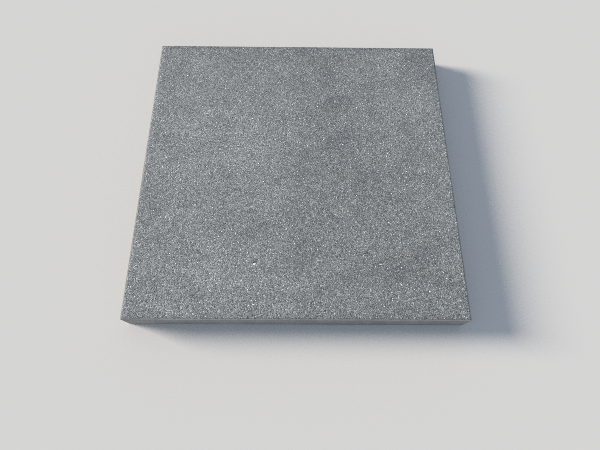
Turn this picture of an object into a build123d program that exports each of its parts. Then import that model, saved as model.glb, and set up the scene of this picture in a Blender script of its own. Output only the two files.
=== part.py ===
from build123d import *

import os

# Concrete paving slab: one large square unit, cast and pressed in one piece.
#
# The slab lies as it is laid. Its origin is the middle of the underside, +Z is up
# through the wearing face, +X runs to the right joint face and +Y to the back one.
# All lengths are in millimetres.

# The block, measured over its joint faces, which are its four upright sides.
slab_width = 1000.0
slab_depth = 1000.0
slab_thickness = 80.0

# The upright corners, softened by the mould so that they do not chip in handling.
corner_radius = 3.0

# The bevel round the wearing face: how far it reaches in over the face, and how
# far it drops down the joint face.
bevel_across = 5.0
bevel_drop = 4.0

# Blasting wears the upper line of the bevel, and the mitres at its corners, round.
shoulder_radius = 2.0

# The lower line of the bevel, where it meets the joint face, is only dulled.
heel_radius = 1.0

# The arris round the underside, left by the joint between mould box and base plate.
bed_arris_radius = 1.5


with BuildPart() as slab:
    # The mould box, still with sharp corners.
    with BuildSketch():
        Rectangle(slab_width, slab_depth)
    extrude(amount=slab_thickness)

    # The bevel, cut with mitred corners as the strips of the mould form it.
    wearing_face = slab.faces().sort_by(Axis.Z)[-1]
    chamfer(
        wearing_face.edges(),
        length=bevel_across,
        length2=bevel_drop,
        reference=wearing_face,
    )

    # The upper line of the bevel and the four mitres, worn round together. The
    # mitres are the only edges that run along none of the three axes.
    upper_lines = slab.edges().group_by(Axis.Z)[-1]
    mitres = slab.edges()
    for axis in (Axis.X, Axis.Y, Axis.Z):
        mitres = mitres.filter_by(axis, reverse=True)
    fillet(upper_lines + mitres, radius=shoulder_radius)

    # The upright corners: what stays is what also fits inside the rounded outline.
    with BuildSketch():
        RectangleRounded(slab_width, slab_depth, corner_radius)
    extrude(amount=slab_thickness, mode=Mode.INTERSECT)

    # The lower line of the bevel runs round the top of the joint faces and of the
    # upright corners, and rises a little where it rounds a corner.
    upright = slab.faces().filter_by(Axis.X) + slab.faces().filter_by(Axis.Y)
    rounds = slab.faces().filter_by(GeomType.CYLINDER)
    upright += rounds.group_by(lambda face: face.bounding_box().size.Z)[-1]
    level = upright.edges().filter_by(Axis.Z, reverse=True)
    heel = level.filter_by_position(Axis.Z, slab_thickness / 2, slab_thickness)
    fillet(heel, radius=heel_radius)

    # The arris of the underside.
    fillet(slab.edges().group_by(Axis.Z)[0], radius=bed_arris_radius)

slab.part.label = "slab"

os.makedirs("parts", exist_ok=True)
export_step(slab.part, "parts/slab.step")
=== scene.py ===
# %% [markdown]
# # A blasted concrete paving slab
#
# The slab is one metre square and 80 mm thick, cast and pressed in one piece. Its
# wearing face was blasted after casting: the thin grey skin of cement is gone there, and
# the sand and crushed stone of the mix show as fine light and dark grains. A narrow bevel
# runs round the upper edge. The bevel, the joint faces and the underside keep the smooth
# skin that the mould gave them.
#
# The construction model gives the size and the place of the slab. It is loaded first,
# and nothing below moves it. Every length is in metres, in that model's own frame: the
# origin is the middle of the underside and +Z points up through the wearing face.

# %% Load the frame
import math

import bpy
import numpy as np
from mathutils import Matrix, Vector


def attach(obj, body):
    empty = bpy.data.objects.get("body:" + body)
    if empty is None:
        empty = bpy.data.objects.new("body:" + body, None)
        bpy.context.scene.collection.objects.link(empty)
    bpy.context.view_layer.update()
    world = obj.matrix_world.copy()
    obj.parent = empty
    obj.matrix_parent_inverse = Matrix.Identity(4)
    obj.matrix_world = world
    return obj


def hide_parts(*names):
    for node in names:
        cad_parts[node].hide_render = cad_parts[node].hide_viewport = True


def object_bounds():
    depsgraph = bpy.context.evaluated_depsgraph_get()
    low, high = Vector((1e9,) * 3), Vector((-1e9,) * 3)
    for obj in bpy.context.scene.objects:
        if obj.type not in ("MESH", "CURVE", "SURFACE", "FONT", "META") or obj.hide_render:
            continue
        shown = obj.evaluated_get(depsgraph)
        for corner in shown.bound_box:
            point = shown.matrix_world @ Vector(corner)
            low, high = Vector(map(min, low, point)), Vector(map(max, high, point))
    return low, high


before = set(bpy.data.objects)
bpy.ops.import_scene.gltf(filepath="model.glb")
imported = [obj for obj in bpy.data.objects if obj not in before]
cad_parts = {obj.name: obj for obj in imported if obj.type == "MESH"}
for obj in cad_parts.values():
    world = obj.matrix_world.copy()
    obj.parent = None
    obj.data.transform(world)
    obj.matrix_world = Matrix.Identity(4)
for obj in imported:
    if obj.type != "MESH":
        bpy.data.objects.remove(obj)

mm = 0.001
cad_low, cad_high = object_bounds()
half_width = cad_high.x
half_depth = cad_high.y
thickness = cad_high.z
print("slab, in metres:", [round(v, 4) for v in cad_low], "to", [round(v, 4) for v in cad_high])

# %% [markdown]
# ## Helpers for node trees
#
# A material and a Geometry Nodes modifier are both trees of nodes, so the same few
# helpers build both. `feed` puts a number, or another node's output, into a socket.
# `node` adds one node and feeds its sockets by name. `calc` adds a Math node and returns
# its result, so that a formula in a tree still reads like a formula. The nodes could be
# placed by hand in the editor too, but then nobody could read the sizes in them here.

# %% Helpers for node trees
def named(sockets, name):
    """The socket of that name which is in use. A node may keep others of the same name hidden."""
    return next(socket for socket in sockets if socket.name == name and socket.enabled)


def feed(tree, socket, value):
    if isinstance(value, bpy.types.NodeSocket):
        tree.links.new(value, socket)
    else:
        socket.default_value = value


def node(tree, kind, settings=None, **inputs):
    made = tree.nodes.new(kind)
    for name, value in (settings or {}).items():
        setattr(made, name, value)
    for name, value in inputs.items():
        feed(tree, named(made.inputs, name.replace("_", " ")), value)
    return made


def calc(tree, operation, *values):
    made = node(tree, "ShaderNodeMath", {"operation": operation})
    for socket, value in zip(made.inputs, values):
        feed(tree, socket, value)
    return made.outputs[0]


def vector_calc(tree, operation, *values):
    made = node(tree, "ShaderNodeVectorMath", {"operation": operation})
    for socket, value in zip(made.inputs, values):
        feed(tree, socket, value)
    return made.outputs[0]


# %% Helpers for fades and mixes
def fade(tree, value, low, high, at_low=0.0, at_high=1.0):
    """A soft step: at_low where the value is low or less, at_high where it is high or more."""
    step = node(tree, "ShaderNodeMapRange", {"interpolation_type": "SMOOTHSTEP"}, Value=value)
    for name, number in (("From Min", low), ("From Max", high), ("To Min", at_low), ("To Max", at_high)):
        feed(tree, step.inputs[name], number)
    return step.outputs["Result"]


def mix_numbers(tree, share, first, second):
    made = node(tree, "ShaderNodeMix", Factor=share, A=first, B=second)
    return named(made.outputs, "Result")


def mix_colours(tree, share, first, second):
    made = node(tree, "ShaderNodeMix", {"data_type": "RGBA"}, Factor=share, A=first, B=second)
    return named(made.outputs, "Result")


def parts(tree, vector):
    return node(tree, "ShaderNodeSeparateXYZ", Vector=vector).outputs


# %% [markdown]
# ## Sizes of the edge
#
# These repeat what the mould gives the real slab: the bevel reaches 5 mm in over the face
# and drops 4 mm down the joint face, blasting rounds its upper line, and the lower lines
# are only dulled. The overall size isn't repeated, because it comes from the frame.

# %% Sizes of the edge
corner_radius = 3 * mm
bevel_across = 5 * mm
bevel_drop = 4 * mm
shoulder_radius = 2 * mm
heel_radius = 1 * mm
bed_arris_radius = 1.5 * mm

# %% [markdown]
# ## The section through the edge
#
# The slab's edge is the same all the way round, so it is drawn once, as a section: a line
# that starts on the wearing face, goes over the bevel, down the joint face and in under
# the slab. Its points are pairs of distance in from the joint face and height. A helper
# rounds each corner with the arc that is tangent to both of its sides. A Bevel modifier
# could round the edges as well, but then the rings of the mesh would not meet the grid
# of the wearing face point for point.

# %% Draw the section
def rounded(before, corner, after, radius, pieces):
    """Points of the arc that rounds one corner of a line."""
    before, corner, after = (np.array(point, float) for point in (before, corner, after))
    back = (before - corner) / np.linalg.norm(before - corner)
    on = (after - corner) / np.linalg.norm(after - corner)
    half_angle = math.acos(back @ on) / 2
    middle = (back + on) / np.linalg.norm(back + on)
    centre = corner + middle * radius / math.sin(half_angle)
    first = corner + back * radius / math.tan(half_angle) - centre
    last = corner + on * radius / math.tan(half_angle) - centre
    turn = math.pi - 2 * half_angle
    shares = np.linspace(0, 1, pieces + 1)[:, None]
    spokes = np.sin(turn * (1 - shares)) * first + np.sin(turn * shares) * last
    return centre + spokes / math.sin(turn)


face_point = (2 * bevel_across, thickness)
shoulder = (bevel_across, thickness)
heel = (0.0, thickness - bevel_drop)
bed_corner = (0.0, 0.0)
bed_point = (2 * bevel_across, 0.0)

shoulder_arc = rounded(face_point, shoulder, heel, shoulder_radius, pieces=3)
heel_arc = rounded(shoulder, heel, bed_corner, heel_radius, pieces=2)
bed_arc = rounded(heel, bed_corner, bed_point, bed_arris_radius, pieces=2)
down_the_bevel = heel_arc[0] - shoulder_arc[-1]
bevel_middles = [shoulder_arc[-1] + down_the_bevel * share for share in (1 / 3, 2 / 3)]
joint_face_drops = [2 * mm, 16 * mm, 30 * mm, 44 * mm, 58 * mm]
joint_face = [heel_arc[-1] - (0.0, drop) for drop in joint_face_drops]
section = [*shoulder_arc, *bevel_middles, *heel_arc, *joint_face, *bed_arc]
print("points in the section:", len(section))

# %% [markdown]
# ## The slab's surface
#
# The wearing face is a grid of points about 3.7 mm apart. That keeps the piece under
# 200,000 triangles, and is nearly as fine as the stones are. Rings with the same number of
# points carry on from the grid's border, over the bevel and down the joint faces, and a fan
# of triangles closes the flat underside. The grid lines stand closer together near the
# edges, where the wear shows most. Inside the face each point is nudged off the grid at
# random, with a fixed seed, because crushed stone does not lie in rows.
# Subdividing a cube would be less work, but it would spend as many faces on the hidden
# underside as on the wearing face.

# %% Grid lines, closer together at both ends
field_step = 3.68 * mm
edge_steps = [1.0 * mm, 1.3 * mm, 1.8 * mm, 2.6 * mm]


def grid_lines(half):
    """Places of the grid lines across a face that reaches half to each side."""
    room = 2 * (half - sum(edge_steps))
    count = round(room / field_step)
    steps = edge_steps + [room / count] * count + edge_steps[::-1]
    return np.concatenate([[-half], -half + np.cumsum(steps)])


def nudge(lines_x, lines_y, share, seed):
    """A grid of points, each moved by up to a share of the room that it has."""
    random = np.random.default_rng(seed)
    grid = np.stack(np.meshgrid(lines_x, lines_y, indexing="ij"), axis=-1)
    for axis, lines in enumerate((lines_x, lines_y)):
        room = np.minimum(np.diff(lines)[:-1], np.diff(lines)[1:]) * share
        room = room[:, None] if axis == 0 else room[None, :]
        inner = grid[1:-1, 1:-1, axis]
        inner += room * random.uniform(-1, 1, inner.shape)
    return grid


# %% Round the corners seen from above
def round_corners(plan, half_x, half_y, radius):
    """Pull the points near the corners of a rectangular ring onto the corner's arc."""
    centre = np.array((half_x - radius, half_y - radius))
    beyond = np.abs(plan) - centre
    near = (beyond > 0).all(axis=1)
    length = np.linalg.norm(beyond[near], axis=1, keepdims=True)
    plan[near] = np.sign(plan[near]) * (centre + beyond[near] / length * radius)
    return plan


# %% Build the surface
def slab_surface(name):
    # The wearing face, a grid of four-sided faces.
    border = section[0][0]
    lines_x, lines_y = grid_lines(half_width - border), grid_lines(half_depth - border)
    nx, ny = len(lines_x), len(lines_y)
    grid = nudge(lines_x, lines_y, share=0.33, seed=11).reshape(-1, 2)
    points = [np.column_stack([grid, np.full(len(grid), thickness)])]

    index = np.arange(nx * ny).reshape(nx, ny)
    corners = (index[:-1, :-1], index[1:, :-1], index[1:, 1:], index[:-1, 1:])
    quads = [np.stack(corners, axis=-1).reshape(-1, 4)]

    # The rings, from the border of the grid over the bevel and down the joint faces.
    ring = np.concatenate([index[:-1, 0], index[-1, :-1], index[:0:-1, -1], index[0, :0:-1]])
    outline = np.stack([lines_x[ring // ny], lines_y[ring % ny]], axis=1)
    outline /= (half_width - border, half_depth - border)
    total = nx * ny
    for inset, height in section[1:]:
        half_x, half_y = half_width - inset, half_depth - inset
        radius = max(corner_radius - inset, shoulder_radius / 2)
        plan = round_corners(outline * (half_x, half_y), half_x, half_y, radius)
        points.append(np.column_stack([plan, np.full(len(ring), height)]))
        below = total + np.arange(len(ring))
        quads.append(np.stack([ring, below, np.roll(below, -1), np.roll(ring, -1)], axis=1))
        ring, total = below, total + len(ring)

    # The underside, a fan of triangles round its middle.
    points.append([(0.0, 0.0, 0.0)])
    middle = np.full(len(ring), total)
    underside = np.stack([np.roll(ring, -1), ring, middle], axis=1).tolist()

    mesh = bpy.data.meshes.new(name)
    faces = np.concatenate(quads).tolist()
    mesh.from_pydata(np.concatenate(points).tolist(), [], faces + underside)
    mesh.polygons.foreach_set("use_smooth", [True] * len(faces) + [False] * len(underside))
    mesh.update()
    return mesh


def new_object(name, data):
    made = bpy.data.objects.new(name, data)
    bpy.context.scene.collection.objects.link(made)
    return made


raw_slab = new_object("raw_slab", slab_surface("raw_slab"))
print("surface:", len(raw_slab.data.vertices), "points,", len(raw_slab.data.polygons), "faces")

# %% [markdown]
# ## What the concrete is made of
#
# Three things make the colour of the blasted face. Crushed stones of 2 to 5 mm, some
# nearly white and some nearly black, lie close together. Sand fills the space between
# them, and grey cement holds it all. The eye sees a cool mid grey with sparkling light
# specks. So every colour below is a grey, given as a linear value, times one of two tints:
# a cool one for the open grain and a warm one for the skin. A picture of concrete could
# be wrapped round the slab instead, but it would smear on the bevel and repeat. Grain
# patterns of all sizes line up at one point, so that point is shifted off the slab.

# %% Colours and grain sizes
cool_tint = (0.95, 1.0, 1.075)
warm_tint = (1.0, 1.0, 0.97)
stone_size = 3.1 * mm
sand_size = 1.3 * mm
stone_shift = (0.37, 0.11, 0.53)


def tinted(grey, tint=cool_tint):
    return (*(grey * share for share in tint), 1.0)


def grey_ramp(tree, value, stops, tint=cool_tint):
    """A colour for each value, from pairs of place and grey."""
    ramp = node(tree, "ShaderNodeValToRGB", Fac=value)
    elements = ramp.color_ramp.elements
    while len(elements) < len(stops):
        elements.new(1.0)
    for element, (place, grey) in zip(elements, stops):
        element.position = place
        element.color = tinted(grey, tint)
    return ramp.outputs["Color"]


def cells(tree, place, size):
    """Voronoi cells of a real size: the distance to the nearest grain, and its random numbers.

    The colour that the texture gives a cell only says where in its box the grain sits. On a
    flat cut that is nearly the same for every grain, so white noise scrambles it first.
    """
    shifted = vector_calc(tree, "ADD", place, stone_shift)
    grains = node(tree, "ShaderNodeTexVoronoi", Vector=shifted, Scale=1 / size)
    scrambled = node(tree, "ShaderNodeTexWhiteNoise", Vector=grains.outputs["Color"])
    random = node(tree, "ShaderNodeSeparateColor", Color=scrambled.outputs["Color"])
    return grains.outputs["Distance"], random.outputs


# %% [markdown]
# ## The concrete
#
# One material covers the whole slab. On the blasted face it draws grains: a Voronoi
# texture gives every stone a cell and a grey of its own, a finer one does the same for
# the sand. Everything reads Object coordinates in three dimensions, so a grain that lies
# at the edge carries on round it, as it would in cut stone.
#
# A little lower than the face the mould's skin is whole: smooth, paler and warmer, with
# faint drag lines from the way it left the mould, and small pores where air was caught
# against the steel. Noise makes the border between grain and skin ragged. Two drawn
# images, one of colour and one of height, could show the same, but only as sharply as
# their pixels allow. A formula stays sharp however near the camera comes.

# %% The blasted face
def blasted_grains(tree, place):
    """Colour, height and roughness of the open grain."""
    stone_distance, stone_random = cells(tree, place, stone_size)
    sand_distance, sand_random = cells(tree, place, sand_size)
    stones = grey_ramp(tree, stone_random["Red"],
                       [(0.0, 0.04), (0.3, 0.11), (0.7, 0.26), (0.92, 0.45), (1.0, 0.65)])
    sand = grey_ramp(tree, sand_random["Red"], [(0.0, 0.08), (0.6, 0.19), (0.95, 0.37), (1.0, 0.55)])
    bare = fade(tree, stone_distance, 0.42, 0.56, 0.85, 0.0)
    colour = mix_colours(tree, bare, sand, stones)
    low_sand = calc(tree, "MULTIPLY", sand_distance, -0.4)
    height = calc(tree, "ADD", calc(tree, "SUBTRACT", 1.0, stone_distance), low_sand)
    roughness = fade(tree, stone_random["Green"], 0.0, 1.0, 0.7, 0.95)
    return colour, height, roughness


# %% The skin from the mould
large_pore_spacing, small_pore_spacing = 11 * mm, 4 * mm


def mould_skin(tree, place):
    """Colour, height and roughness of the smooth skin: faint clouds, drag lines, sand and air pores."""
    clouds = node(tree, "ShaderNodeTexNoise", Vector=place, Scale=22.0, Detail=5.0, Roughness=0.6)
    drawn_up = vector_calc(tree, "MULTIPLY", place, (1.0, 1.0, 0.05))
    drags = node(tree, "ShaderNodeTexNoise", Vector=drawn_up, Scale=260.0, Detail=3.0, Roughness=0.6)
    _, sand_random = cells(tree, place, sand_size)
    tone = calc(tree, "ADD", fade(tree, clouds.outputs["Fac"], 0.3, 0.7, 0.0, 0.4),
                fade(tree, drags.outputs["Fac"], 0.3, 0.7, 0.0, 0.25))
    tone = calc(tree, "ADD", tone, calc(tree, "MULTIPLY", sand_random["Red"], 0.35))
    colour = grey_ramp(tree, tone, [(0.0, 0.24), (1.0, 0.36)], warm_tint)
    large_distance, large_random = cells(tree, place, large_pore_spacing)
    small_distance, small_random = cells(tree, place, small_pore_spacing)
    large_radius = fade(tree, large_random["Red"], 0.65, 1.0, 0.0, 0.16)
    small_radius = fade(tree, small_random["Red"], 0.75, 1.0, 0.0, 0.2)
    off_large = fade(tree, calc(tree, "SUBTRACT", large_distance, large_radius), -0.04, 0.01)
    off_small = fade(tree, calc(tree, "SUBTRACT", small_distance, small_radius), -0.08, 0.02)
    whole = calc(tree, "MULTIPLY", off_large, off_small)
    colour = mix_colours(tree, whole, tinted(0.09, warm_tint), colour)
    fine_sand = node(tree, "ShaderNodeTexNoise", Vector=place, Scale=1500.0, Detail=2.0)
    height = calc(tree, "ADD", whole, calc(tree, "MULTIPLY", tone, 0.15))
    height = calc(tree, "ADD", height, calc(tree, "MULTIPLY", fine_sand.outputs["Fac"], 0.25))
    roughness = 0.85
    return colour, height, roughness


# %% [markdown]
# ## Stains, clouds, and painted light and shade
#
# A slab that has lain outdoors is never of one tone. The left half of this one is paler
# than the right half. Some places stayed darker, some paler, and something round has
# stood right of the middle and left a faint ring. A paler band along the left edge is
# painted light, on the side that faces the low lamp. The face is darker along its front
# and back edges. The left bevel and joint face carry painted shade, weaker near the
# corners. Near the front one grain popped out and left a small pit. Its inside is painted
# dark as shade, and a white stone at its front rim is also its painted highlight.
#
# The stains are few, so they are listed: where each lies on the face, how far it reaches,
# and how much darker or paler it is. Noise bends their borders. They could be painted by
# hand on an image, but a list is easier to read and to change. Dark places look a little
# cooler than pale ones, so red follows the tone a little more than green, and blue less.

# %% A list of stains
stains = {
    "dark, behind the middle": ((0.135, 0.242), (0.08, 0.05), -0.2),
    "dark, over the ring": ((0.155, 0.115), (0.05, 0.04), -0.17),
    "dark, near the back edge": ((0.11, 0.38), (0.07, 0.07), -0.13),
    "dark, along the back edge": ((-0.15, 0.46), (0.5, 0.07), -0.09),
    "dark, back and left of the middle": ((-0.05, 0.36), (0.07, 0.07), -0.06),
    "dark, back right corner": ((0.46, 0.42), (0.08, 0.08), -0.14),
    "dark, back of the left edge": ((-0.45, 0.28), (0.05, 0.16), -0.08),
    "dark, front of the left edge": ((-0.45, -0.1), (0.05, 0.25), -0.06),
    "dark, front right": ((0.345, -0.345), (0.14, 0.1), -0.14),
    "dark, right of the ring": ((0.26, -0.1), (0.09, 0.13), -0.06),
    "dark, front of the middle": ((0.0, -0.25), (0.06, 0.15), -0.1),
    "dark, left and in front": ((-0.18, -0.21), (0.1, 0.05), -0.14),
    "pale, left": ((-0.35, 0.15), (0.09, 0.08), 0.11),
    "pale, left of the middle": ((-0.17, 0.1), (0.12, 0.13), 0.12),
    "pale, beside the middle": ((-0.29, -0.02), (0.2, 0.1), 0.08),
    "pale, left and in front": ((-0.37, -0.22), (0.06, 0.08), 0.06),
    "pale, front left": ((-0.22, -0.37), (0.1, 0.07), 0.15),
    "pale, in front of the middle": ((0.0, -0.38), (0.16, 0.05), 0.08),
    "pale, back left corner": ((-0.35, 0.42), (0.07, 0.07), 0.1),
    "pale, back right": ((0.3, 0.42), (0.1, 0.08), 0.13),
    "pale, behind the right edge": ((0.41, 0.24), (0.11, 0.12), 0.12),
    "pale, right of the middle": ((0.3, 0.11), (0.07, 0.07), 0.09),
    "pale, right edge": ((0.47, -0.1), (0.05, 0.2), 0.06),
}
ring_centre, ring_radius, ring_width = (0.105, -0.02), 0.1, 0.025
pit_place, pit_radius, pit_depth = (-0.121, -0.329), 9 * mm, 2 * mm
# A white stone at the pit's front rim, painted pale, which also stands in as the painted highlight of
# the lit rim.
rim_stone_and_highlight_place, rim_stone_and_highlight_reach = (-0.1265, -0.3355), (5.5 * mm, 3.5 * mm)
red_follows, blue_follows = 1.06, 0.92


# %% Tone that changes slowly over the slab
def from_point(tree, place, centre, reach):
    """Distance from a point of the face, where reach counts as one."""
    offset = vector_calc(tree, "SUBTRACT", place, (*centre, thickness))
    shares = vector_calc(tree, "DIVIDE", offset, (*reach, 1.0))
    length = node(tree, "ShaderNodeVectorMath", {"operation": "LENGTH"}, Vector=shares)
    return length.outputs["Value"]


def cloud_tone(tree, place):
    """Clouds and stains: a factor near one for every place on the face."""
    broad = node(tree, "ShaderNodeTexNoise", Vector=place, Scale=3.2, Detail=2.0, Roughness=0.5)
    small = node(tree, "ShaderNodeTexNoise", Vector=place, Scale=16.0, Detail=3.0, Roughness=0.6)
    tone = calc(tree, "ADD", fade(tree, broad.outputs["Fac"], 0.3, 0.7, 0.98, 1.02),
                fade(tree, small.outputs["Fac"], 0.3, 0.7, -0.075, 0.075))
    bend = vector_calc(tree, "SUBTRACT", small.outputs["Color"], (0.5, 0.5, 0.5))
    bent = vector_calc(tree, "ADD", place, vector_calc(tree, "MULTIPLY", bend, (0.035, 0.035, 0.0)))
    halves = fade(tree, parts(tree, bent)["X"], -0.025, 0.01, 0.05, -0.045)
    tone = calc(tree, "ADD", tone, halves)
    for centre, reach, strength in stains.values():
        stain = fade(tree, from_point(tree, bent, centre, reach), 0.2, 1.2, strength, 0.0)
        tone = calc(tree, "ADD", tone, stain)
    off_ring = calc(tree, "SUBTRACT", from_point(tree, bent, ring_centre, (1.0, 1.0)), ring_radius)
    ring = fade(tree, calc(tree, "ABSOLUTE", off_ring), 0.0, ring_width, -0.1, 0.0)
    return calc(tree, "ADD", tone, ring)


def edge_tone(tree, place):
    """Painted light and shade along the left edge, and darker front and back edges, added to the clouds.
    """
    x, y, z = parts(tree, place)
    from_left = calc(tree, "ADD", x, half_width)
    from_front = calc(tree, "ADD", y, half_depth)
    from_back = calc(tree, "SUBTRACT", half_depth, y)
    on_top = fade(tree, z, thickness - bevel_drop, thickness - 1 * mm)
    # Painted light: a paler band along the left edge of the face, the side towards the low lamp.
    painted_left_light = calc(tree, "MULTIPLY", on_top, fade(tree, from_left, 10 * mm, 24 * mm, 0.16, 0.0))
    from_corner = calc(tree, "MINIMUM", from_front, from_back)
    # Painted shade: the left bevel and joint face are darkened as beside a neighbouring slab, less so
    # near the corners.
    left_shade_share = fade(tree, from_corner, 1 * mm, 15 * mm, 0.4, 1.0)
    painted_left_shade = calc(tree, "MULTIPLY", left_shade_share, fade(tree, from_left, 3 * mm, 7 * mm, -0.5, 0.0))
    # Darker along the front and back edges of the face.
    darker_front_and_back = calc(tree, "ADD", fade(tree, from_front, 5 * mm, 24 * mm, -0.1, 0.0),
                    fade(tree, from_back, 5 * mm, 26 * mm, -0.18, 0.0))
    return calc(tree, "ADD", darker_front_and_back, calc(tree, "ADD", painted_left_light, painted_left_shade))


# %% The whole concrete
border_raggedness, border_softness = 3.2 * mm, 0.5 * mm
# Grey of the painted shade inside the pit, and of the white stone at its rim, which is also a painted
# highlight.
pit_shade_grey, rim_stone_and_highlight_grey = 0.05, 0.8


def concrete_material(name):
    material = bpy.data.materials.new(name)
    material.use_nodes = True
    tree = material.node_tree
    shader = tree.nodes["Principled BSDF"]
    place = node(tree, "ShaderNodeTexCoord").outputs["Object"]

    face_colour, face_height, face_roughness = blasted_grains(tree, place)
    skin_colour, skin_height, skin_roughness = mould_skin(tree, place)

    # Painted shade inside the pit, and a white stone at its front rim that is also its painted
    # highlight.
    off_pit = from_point(tree, place, pit_place, (pit_radius, pit_radius))
    off_stone_and_highlight = from_point(tree, place, rim_stone_and_highlight_place, rim_stone_and_highlight_reach)
    painted_pit_shade = fade(tree, off_pit, 0.4, 0.9, 0.4, 0.0)
    face_colour = mix_colours(tree, painted_pit_shade, face_colour, tinted(pit_shade_grey))
    # Painted highlight: the white stone on the pit's lit front rim.
    on_stone_and_highlight = fade(tree, off_stone_and_highlight, 0.8, 1.0, 1.0, 0.0)
    face_colour = mix_colours(tree, on_stone_and_highlight, face_colour, tinted(rim_stone_and_highlight_grey))

    # Skin below, open grain above. The pit goes deeper than the border, but it has no skin.
    ragged = node(tree, "ShaderNodeTexNoise", Vector=place, Scale=300.0, Detail=2.0)
    pit_allowance = fade(tree, off_pit, 1.0, 1.4, 2 * pit_depth, 0.0)
    height_up = calc(tree, "ADD", parts(tree, place)["Z"], pit_allowance)
    border = calc(tree, "MULTIPLY_ADD", ragged.outputs["Fac"], border_raggedness, height_up)
    blasted = fade(tree, border, thickness - border_softness, thickness)
    colour = mix_colours(tree, blasted, skin_colour, face_colour)

    # Stains, dust and dirt over both.
    tone = calc(tree, "ADD", cloud_tone(tree, place), edge_tone(tree, place))
    red_tone, blue_tone = (calc(tree, "POWER", tone, power) for power in (red_follows, blue_follows))
    warmed = node(tree, "ShaderNodeCombineXYZ", X=red_tone, Y=tone, Z=blue_tone)
    feed(tree, shader.inputs["Base Color"], vector_calc(tree, "MULTIPLY", colour, warmed.outputs[0]))
    feed(tree, shader.inputs["Roughness"], mix_numbers(tree, blasted, skin_roughness, face_roughness))
    height = mix_numbers(tree, blasted, skin_height, face_height)
    bump = node(tree, "ShaderNodeBump", Height=height, Strength=1.0, Distance=0.5 * mm)
    feed(tree, shader.inputs["Normal"], bump.outputs["Normal"])
    return material


concrete = concrete_material("pressed_concrete")
print("nodes in the concrete:", len(concrete.node_tree.nodes))

# %% [markdown]
# ## Helpers for Geometry Nodes
#
# A Geometry Nodes tree gets its sizes through named inputs. A modifier does not know
# those names: each value is set by the socket's identifier, and that is done before the
# object is first evaluated. `run_tree` then turns the result into a plain mesh and takes
# the modifier off again. A live modifier would do for a picture, but a plain mesh can be
# handed on to any other program. A ball that a tree makes brings an empty material slot
# along, so empty slots are taken out.

# %% Helpers for Geometry Nodes
socket_kinds = {float: "NodeSocketFloat", int: "NodeSocketInt", bpy.types.Material: "NodeSocketMaterial"}


def new_tree(name, inputs):
    """An empty tree with named inputs. Each starts at the value that is given."""
    tree = bpy.data.node_groups.new(name, "GeometryNodeTree")
    tree.interface.new_socket("Geometry", in_out="INPUT", socket_type="NodeSocketGeometry")
    for label, value in inputs.items():
        socket = tree.interface.new_socket(label, in_out="INPUT", socket_type=socket_kinds[type(value)])
        socket.default_value = value
    tree.interface.new_socket("Geometry", in_out="OUTPUT", socket_type="NodeSocketGeometry")
    given, result = node(tree, "NodeGroupInput"), node(tree, "NodeGroupOutput")
    return tree, given.outputs, result.inputs["Geometry"]


def run_tree(source, tree, values, name):
    """Run a tree on an object. Returns the result as a new object with a plain mesh."""
    modifier = source.modifiers.new(tree.name, "NODES")
    modifier.node_group = tree
    for item in tree.interface.items_tree:
        if item.in_out == "INPUT" and item.name in values:
            modifier[item.identifier] = values[item.name]
    evaluated = source.evaluated_get(bpy.context.evaluated_depsgraph_get())
    mesh = bpy.data.meshes.new_from_object(evaluated)
    mesh.name = name
    for slot in reversed(range(len(mesh.materials))):
        if mesh.materials[slot] is None:
            mesh.materials.pop(index=slot)
    source.modifiers.remove(modifier)
    return new_object(name, mesh)


def triangle_count(piece):
    return sum(len(face.vertices) - 2 for face in piece.data.polygons)


# %% [markdown]
# ## Blasting the face
#
# Blasting eats the soft cement faster than the stone. The tree does the same to the mesh:
# each point sinks along its normal, between the stones more than on them, and a slow
# noise makes the whole face wave a little, as the fill under a mould plate does. Where
# the grain popped out, the points sink into a pit. Along the upper edge a second noise
# bites small pieces out, because an arris always loses some grains. Every move goes
# inwards, so the slab never outgrows the construction model. A Displace modifier could
# sink the face as well, but it would need a painted mask to tell the edge from the face.

# %% Build the blasting tree
blast_tree, given, blasted_result = new_tree("blast_the_face", {
    "Stone Size": stone_size,
    "Stone Relief": 0.55 * mm,
    "Waviness": 0.3 * mm,
    "Edge Wear": 0.6 * mm,
    "Pit Radius": pit_radius,
    "Pit Depth": pit_depth,
})
where = node(blast_tree, "GeometryNodeInputPosition").outputs[0]
normal = node(blast_tree, "GeometryNodeInputNormal").outputs[0]
upwards = parts(blast_tree, normal)["Z"]
height_up = parts(blast_tree, where)["Z"]

stone_scale = calc(blast_tree, "DIVIDE", 1.0, given["Stone Size"])
stone_place = vector_calc(blast_tree, "ADD", where, stone_shift)
stone_cells = node(blast_tree, "ShaderNodeTexVoronoi", Vector=stone_place, Scale=stone_scale)
wave = node(blast_tree, "ShaderNodeTexNoise", Vector=where, Scale=6.0, Detail=2.0)
stone_depth = calc(blast_tree, "MULTIPLY", stone_cells.outputs["Distance"], given["Stone Relief"])
wave_depth = calc(blast_tree, "MULTIPLY", wave.outputs["Fac"], given["Waviness"])
from_pit = vector_calc(blast_tree, "SUBTRACT", where, (*pit_place, thickness))
off_pit = node(blast_tree, "ShaderNodeVectorMath", {"operation": "LENGTH"}, Vector=from_pit)
pit_share = calc(blast_tree, "DIVIDE", off_pit.outputs["Value"], given["Pit Radius"])
sunk_share = fade(blast_tree, pit_share, 0.5, 1.0, 1.0, 0.0)
on_face = fade(blast_tree, upwards, 0.2, 0.9, 0.3, 1.0)
face_depth = calc(blast_tree, "MULTIPLY", calc(blast_tree, "ADD", stone_depth, wave_depth), on_face)
face_depth = calc(blast_tree, "MULTIPLY_ADD", sunk_share, given["Pit Depth"], face_depth)

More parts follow.
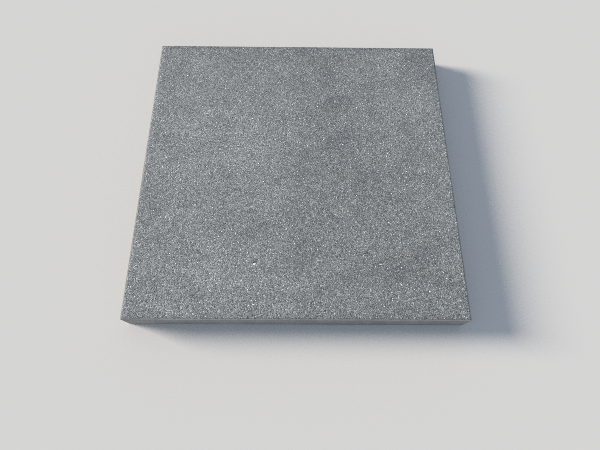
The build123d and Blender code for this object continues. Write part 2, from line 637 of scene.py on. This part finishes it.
# %% Bite the upper edge and finish the tree
bites = node(blast_tree, "ShaderNodeTexNoise", Vector=where, Scale=170.0, Detail=2.0)
bitten = fade(blast_tree, bites.outputs["Fac"], 0.45, 0.8)
high_up = fade(blast_tree, height_up, thickness - 2 * bevel_drop, thickness - bevel_drop)
off_face = fade(blast_tree, upwards, 0.85, 0.99, 1.0, 0.0)
bite_share = calc(blast_tree, "MULTIPLY", bitten, calc(blast_tree, "MULTIPLY", high_up, off_face))
bite_depth = calc(blast_tree, "MULTIPLY", bite_share, given["Edge Wear"])
depth = calc(blast_tree, "ADD", face_depth, bite_depth)
inwards = vector_calc(blast_tree, "SCALE", normal)
feed(blast_tree, inwards.node.inputs["Scale"], calc(blast_tree, "MULTIPLY", depth, -1.0))
sunk = node(blast_tree, "GeometryNodeSetPosition", Geometry=given["Geometry"], Offset=inwards)
whole = node(blast_tree, "GeometryNodeRealizeInstances", Geometry=sunk.outputs[0])
coated = node(blast_tree, "GeometryNodeSetMaterial", Geometry=whole.outputs[0], Material=concrete)
feed(blast_tree, blasted_result, coated.outputs[0])

slab = run_tree(raw_slab, blast_tree, {}, "paving_slab")
bpy.data.objects.remove(raw_slab)
print("blasted slab:", triangle_count(slab), "triangles")

# %% [markdown]
# ## Rocks
#
# The stones that blasting laid bare are of three kinds: white quartz, grey granite and
# black basalt. Each could have a tree of its own, but all three are the same material
# with other numbers, so one function makes them. Each stone has a tone of its own, kept
# in an attribute of the mesh, and a fine Voronoi texture adds crystals. A broken face of
# quartz is glossier than basalt, so its roughness is lower.

# %% Rock materials
def rock_material(name, darkest, lightest, crystal_size, roughness):
    material = bpy.data.materials.new(name)
    material.use_nodes = True
    tree = material.node_tree
    shader = tree.nodes["Principled BSDF"]
    place = node(tree, "ShaderNodeTexCoord").outputs["Object"]
    tone = node(tree, "ShaderNodeAttribute", {"attribute_name": "tone"}).outputs["Fac"]
    crystal_distance, crystal_random = cells(tree, place, crystal_size)
    own_grey = grey_ramp(tree, tone, [(0.0, darkest), (1.0, lightest)])
    sparkle = fade(tree, crystal_random["Red"], 0.0, 1.0, 0.75, 1.25)
    colour = vector_calc(tree, "SCALE", own_grey)
    feed(tree, colour.node.inputs["Scale"], sparkle)
    feed(tree, shader.inputs["Base Color"], colour)
    uneven = fade(tree, crystal_random["Green"], 0.0, 1.0, roughness - 0.12, roughness + 0.12)
    feed(tree, shader.inputs["Roughness"], uneven)
    bump = node(tree, "ShaderNodeBump", Height=crystal_distance, Strength=0.6, Distance=0.1 * mm)
    feed(tree, shader.inputs["Normal"], bump.outputs["Normal"])
    return material


quartz = rock_material("quartz", darkest=0.55, lightest=0.84, crystal_size=1.1 * mm, roughness=0.4)
granite = rock_material("granite", darkest=0.24, lightest=0.455, crystal_size=0.7 * mm, roughness=0.65)
basalt = rock_material("basalt", darkest=0.035, lightest=0.11, crystal_size=0.6 * mm, roughness=0.6)

# %% [markdown]
# ## Scattering the stones
#
# One tree sets the stones of all three kinds. It spreads points over the parts of the
# face that look up, at least a spacing apart, and gives every point a random number from
# 0 to 1. Each kind of rock takes the points whose number lies between its two shares, and
# since the seed is the same each time, no two kinds ever want the same place. A stone is
# a ball of 20 faces, stretched and turned at random. That is enough for a grain that is
# one or two pixels wide in a picture, and 17,000 of them stay a light load.
#
# A particle system could scatter them too, but its instances would be lost on export. The
# tree realizes them, so that they end as one plain mesh for each rock.

# %% Build the scattering tree
stones_tree, given, stones_result = new_tree("set_the_stones", {
    "Spacing": 4.4 * mm,
    "Stones per Square Metre": 120000.0,
    "Clear of the Edge": bevel_across + 1.5 * mm,
    "From Share": 0.0,
    "To Share": 1.0,
    "Smallest Radius": 1.0 * mm,
    "Largest Radius": 2.0 * mm,
    "Buried": 0.9 * mm,
    "Seed": 5,
    "Rock": granite,
})
x, y, z = parts(stones_tree, node(stones_tree, "GeometryNodeInputPosition").outputs[0])
from_side = calc(stones_tree, "SUBTRACT", half_width, calc(stones_tree, "ABSOLUTE", x))
from_end = calc(stones_tree, "SUBTRACT", half_depth, calc(stones_tree, "ABSOLUTE", y))
from_edge = calc(stones_tree, "MINIMUM", from_side, from_end)
is_clear = calc(stones_tree, "GREATER_THAN", from_edge, given["Clear of the Edge"])
is_high = calc(stones_tree, "GREATER_THAN", z, thickness / 2)
spread = node(stones_tree, "GeometryNodeDistributePointsOnFaces", {"distribute_method": "POISSON"},
              Mesh=given["Geometry"], Selection=calc(stones_tree, "MULTIPLY", is_clear, is_high),
              Distance_Min=given["Spacing"], Density_Max=given["Stones per Square Metre"],
              Seed=given["Seed"])


def draw(tree, kind, low, high, seed):
    """A random value for each point or stone, the same in every run."""
    settings = {"data_type": kind}
    made = node(tree, "FunctionNodeRandomValue", settings, Min=low, Max=high, Seed=seed)
    return named(made.outputs, "Value")


lot = draw(stones_tree, "FLOAT", 0.0, 1.0, seed=21)
is_after = calc(stones_tree, "GREATER_THAN", lot, given["From Share"])
is_before = calc(stones_tree, "LESS_THAN", lot, given["To Share"])
is_chosen = calc(stones_tree, "MULTIPLY", is_after, is_before)

# %% Set the stones on the points and finish the tree
down = node(stones_tree, "ShaderNodeCombineXYZ", Z=calc(stones_tree, "MULTIPLY", given["Buried"], -1.0))
points = spread.outputs["Points"]
sunk = node(stones_tree, "GeometryNodeSetPosition", Geometry=points, Offset=down.outputs[0])
ball = node(stones_tree, "GeometryNodeMeshIcoSphere", Radius=1.0, Subdivisions=1)
any_turn = draw(stones_tree, "FLOAT_VECTOR", (0, 0, 0), (math.tau, math.tau, math.tau), seed=22)
turned = node(stones_tree, "FunctionNodeEulerToRotation", Euler=any_turn)
radius = draw(stones_tree, "FLOAT", given["Smallest Radius"], given["Largest Radius"], seed=23)
uneven = draw(stones_tree, "FLOAT_VECTOR", (0.7, 0.7, 0.7), (1.2, 1.2, 1.2), seed=24)
stretch = vector_calc(stones_tree, "SCALE", uneven)
feed(stones_tree, stretch.node.inputs["Scale"], radius)
placed = node(stones_tree, "GeometryNodeInstanceOnPoints", Points=sunk.outputs[0],
              Selection=is_chosen, Instance=ball.outputs["Mesh"],
              Rotation=turned.outputs[0], Scale=stretch)
one_for_each_stone = {"data_type": "FLOAT", "domain": "INSTANCE"}
own_tone = node(stones_tree, "GeometryNodeStoreNamedAttribute", one_for_each_stone, Name="tone",
                Geometry=placed.outputs[0], Value=draw(stones_tree, "FLOAT", 0.0, 1.0, seed=25))
whole = node(stones_tree, "GeometryNodeRealizeInstances", Geometry=own_tone.outputs[0])
coated = node(stones_tree, "GeometryNodeSetMaterial", Geometry=whole.outputs[0], Material=given["Rock"])
feed(stones_tree, stones_result, coated.outputs[0])

# %% [markdown]
# The highest tops would stand above the face of the construction model. On the real slab
# the blasting grit and years of wear rub them flat, so each point that is too high is
# simply brought down to the face.

# %% Scatter the three rocks
faces_of_a_stone = 20


def rub_tops_flat(piece):
    points = np.empty(len(piece.data.vertices) * 3)
    piece.data.vertices.foreach_get("co", points)
    points[2::3] = np.minimum(points[2::3], thickness)
    piece.data.vertices.foreach_set("co", points)
    piece.data.update()


rocks = {
    "quartz_stones": {"Rock": quartz, "From Share": 0.0, "To Share": 0.07,
                      "Smallest Radius": 1.1 * mm, "Largest Radius": 2.5 * mm},
    "granite_stones": {"Rock": granite, "From Share": 0.07, "To Share": 0.34},
    "basalt_stones": {"Rock": basalt, "From Share": 0.34, "To Share": 0.62,
                      "Smallest Radius": 1.1 * mm, "Largest Radius": 2.3 * mm},
}
stones = []
for name, values in rocks.items():
    piece = run_tree(slab, stones_tree, values, name)
    rub_tops_flat(piece)
    stones.append(piece)
    triangles = triangle_count(piece)
    print(name, "has", triangles // faces_of_a_stone, "stones,", triangles, "triangles")

# %% [markdown]
# ## Handing the pieces over
#
# Nothing on the slab moves, so everything rides on its one body, root. The pieces stand
# for the one solid of the construction model, which is hidden. They could be joined into
# one mesh, but apart each stays light enough to be handed on with every stone in it.

# %% Hand the pieces over
for piece in [slab, *stones]:
    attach(piece, "root")
    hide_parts("slab")

# %% [markdown]
# ## Floor
#
# A plain pale floor, large enough to fill every view, is all that surrounds the slab. It
# has no gloss at all, because even a dull gloss shows as a bright patch where the eye
# looks along the floor towards the lamp. A backdrop that curves up behind the slab would
# do too, but only from one side. The floor is not part of the slab.

# %% Floor
floor_half = 30.0
floor_colour = (0.597, 0.58, 0.587, 1.0)


def floor_material(name):
    material = bpy.data.materials.new(name)
    material.use_nodes = True
    shader = material.node_tree.nodes["Principled BSDF"]
    shader.inputs["Base Color"].default_value = floor_colour
    shader.inputs["Roughness"].default_value = 1.0
    shader.inputs["Specular IOR Level"].default_value = 0.0
    return material


floor_corners = [(x * floor_half, y * floor_half, 0.0) for x, y in ((-1, -1), (1, -1), (1, 1), (-1, 1))]
floor_mesh = bpy.data.meshes.new("studio_floor")
floor_mesh.from_pydata(floor_corners, [], [(0, 1, 2, 3)])
floor_mesh.materials.append(floor_material("studio_floor"))
floor = new_object("studio_floor", floor_mesh)

# %% [markdown]
# ## Light
#
# Concrete shows its grain best in low light. A warm sun lamp stands on the left and a
# little behind, only 20 degrees above the floor. It lights the left bevel fully, while the
# right one stays in shade. The lamp is 18 degrees wide, as a studio lamp behind a screen
# would be, so its shadows have soft borders. A cool sky fills the rest, and it turns as
# pale as the floor near the horizon, so that no line shows where the two meet. An area
# lamp would do too, but it would leave a hot spot on the floor under it, and the floor far
# away would be dark.

# %% The low lamp
sun_elevation, sun_turn = math.radians(20), math.radians(14)
sun_data = bpy.data.lights.new("low_sun", "SUN")
sun_data.energy = 6.4
sun_data.angle = math.radians(18)
sun_data.color = (1.0, 0.929, 0.783)
sun = new_object("low_sun", sun_data)
due_left = Vector((-math.cos(sun_elevation), 0.0, math.sin(sun_elevation)))
towards_sun = Matrix.Rotation(-sun_turn, 3, "Z") @ due_left
sun.location = towards_sun
sun.rotation_euler = towards_sun.to_track_quat("Z", "Y").to_euler()

# %% The sky
world = bpy.data.worlds.new("pale_sky")
bpy.context.scene.world = world
world.use_nodes = True
sky_tree = world.node_tree
direction = node(sky_tree, "ShaderNodeTexCoord").outputs["Generated"]
haze = fade(sky_tree, parts(sky_tree, direction)["Z"], 0.0, 0.3, 1.0, 0.0)
overhead, horizon = (0.419, 0.495, 0.58, 1.0), (0.667, 0.667, 0.667, 1.0)
sky_colour = mix_colours(sky_tree, haze, overhead, horizon)
feed(sky_tree, sky_tree.nodes["Background"].inputs["Color"], sky_colour)
bpy.context.scene.view_settings.view_transform = "Standard"
print("the lamp stands at", [round(v, 2) for v in towards_sun])

# %% [markdown]
# A denoiser takes grains of one pixel for noise and smears them away, so it is off. The
# filter that spreads each sample over the pixels beside it is narrowed for the same
# reason: the grain of blasted concrete stays as crisp as the eye sees it.

# %% Keep the grain crisp
bpy.context.scene.cycles.use_denoising = False
bpy.context.scene.cycles.filter_width = 0.87

# %% [markdown]
# ## Camera
#
# The camera is where someone who stands in front of the slab holds a phone: 1.24 m above
# the wearing face, looking steeply down. Its lens, place and turn come from the four
# corners of the slab in the photograph. Pointing it with a Track To constraint would be
# quicker, but that can't give it the slight roll of a hand.

# %% Camera
sensor_width, focal_length = 36.0, 25.96
eye = (-0.0031, -0.7049, thickness + 1.2365)
pitch, yaw, roll = math.radians(68.19), math.radians(-1.41), math.radians(1.65)

camera_data = bpy.data.cameras.new("camera")
camera_data.sensor_width = sensor_width
camera_data.lens = focal_length
camera = new_object("camera", camera_data)
camera.matrix_world = (
    Matrix.Translation(eye)
    @ Matrix.Rotation(yaw, 4, "Z")
    @ Matrix.Rotation(math.pi / 2 - pitch, 4, "X")
    @ Matrix.Rotation(roll, 4, "Z")
)
bpy.context.scene.camera = camera
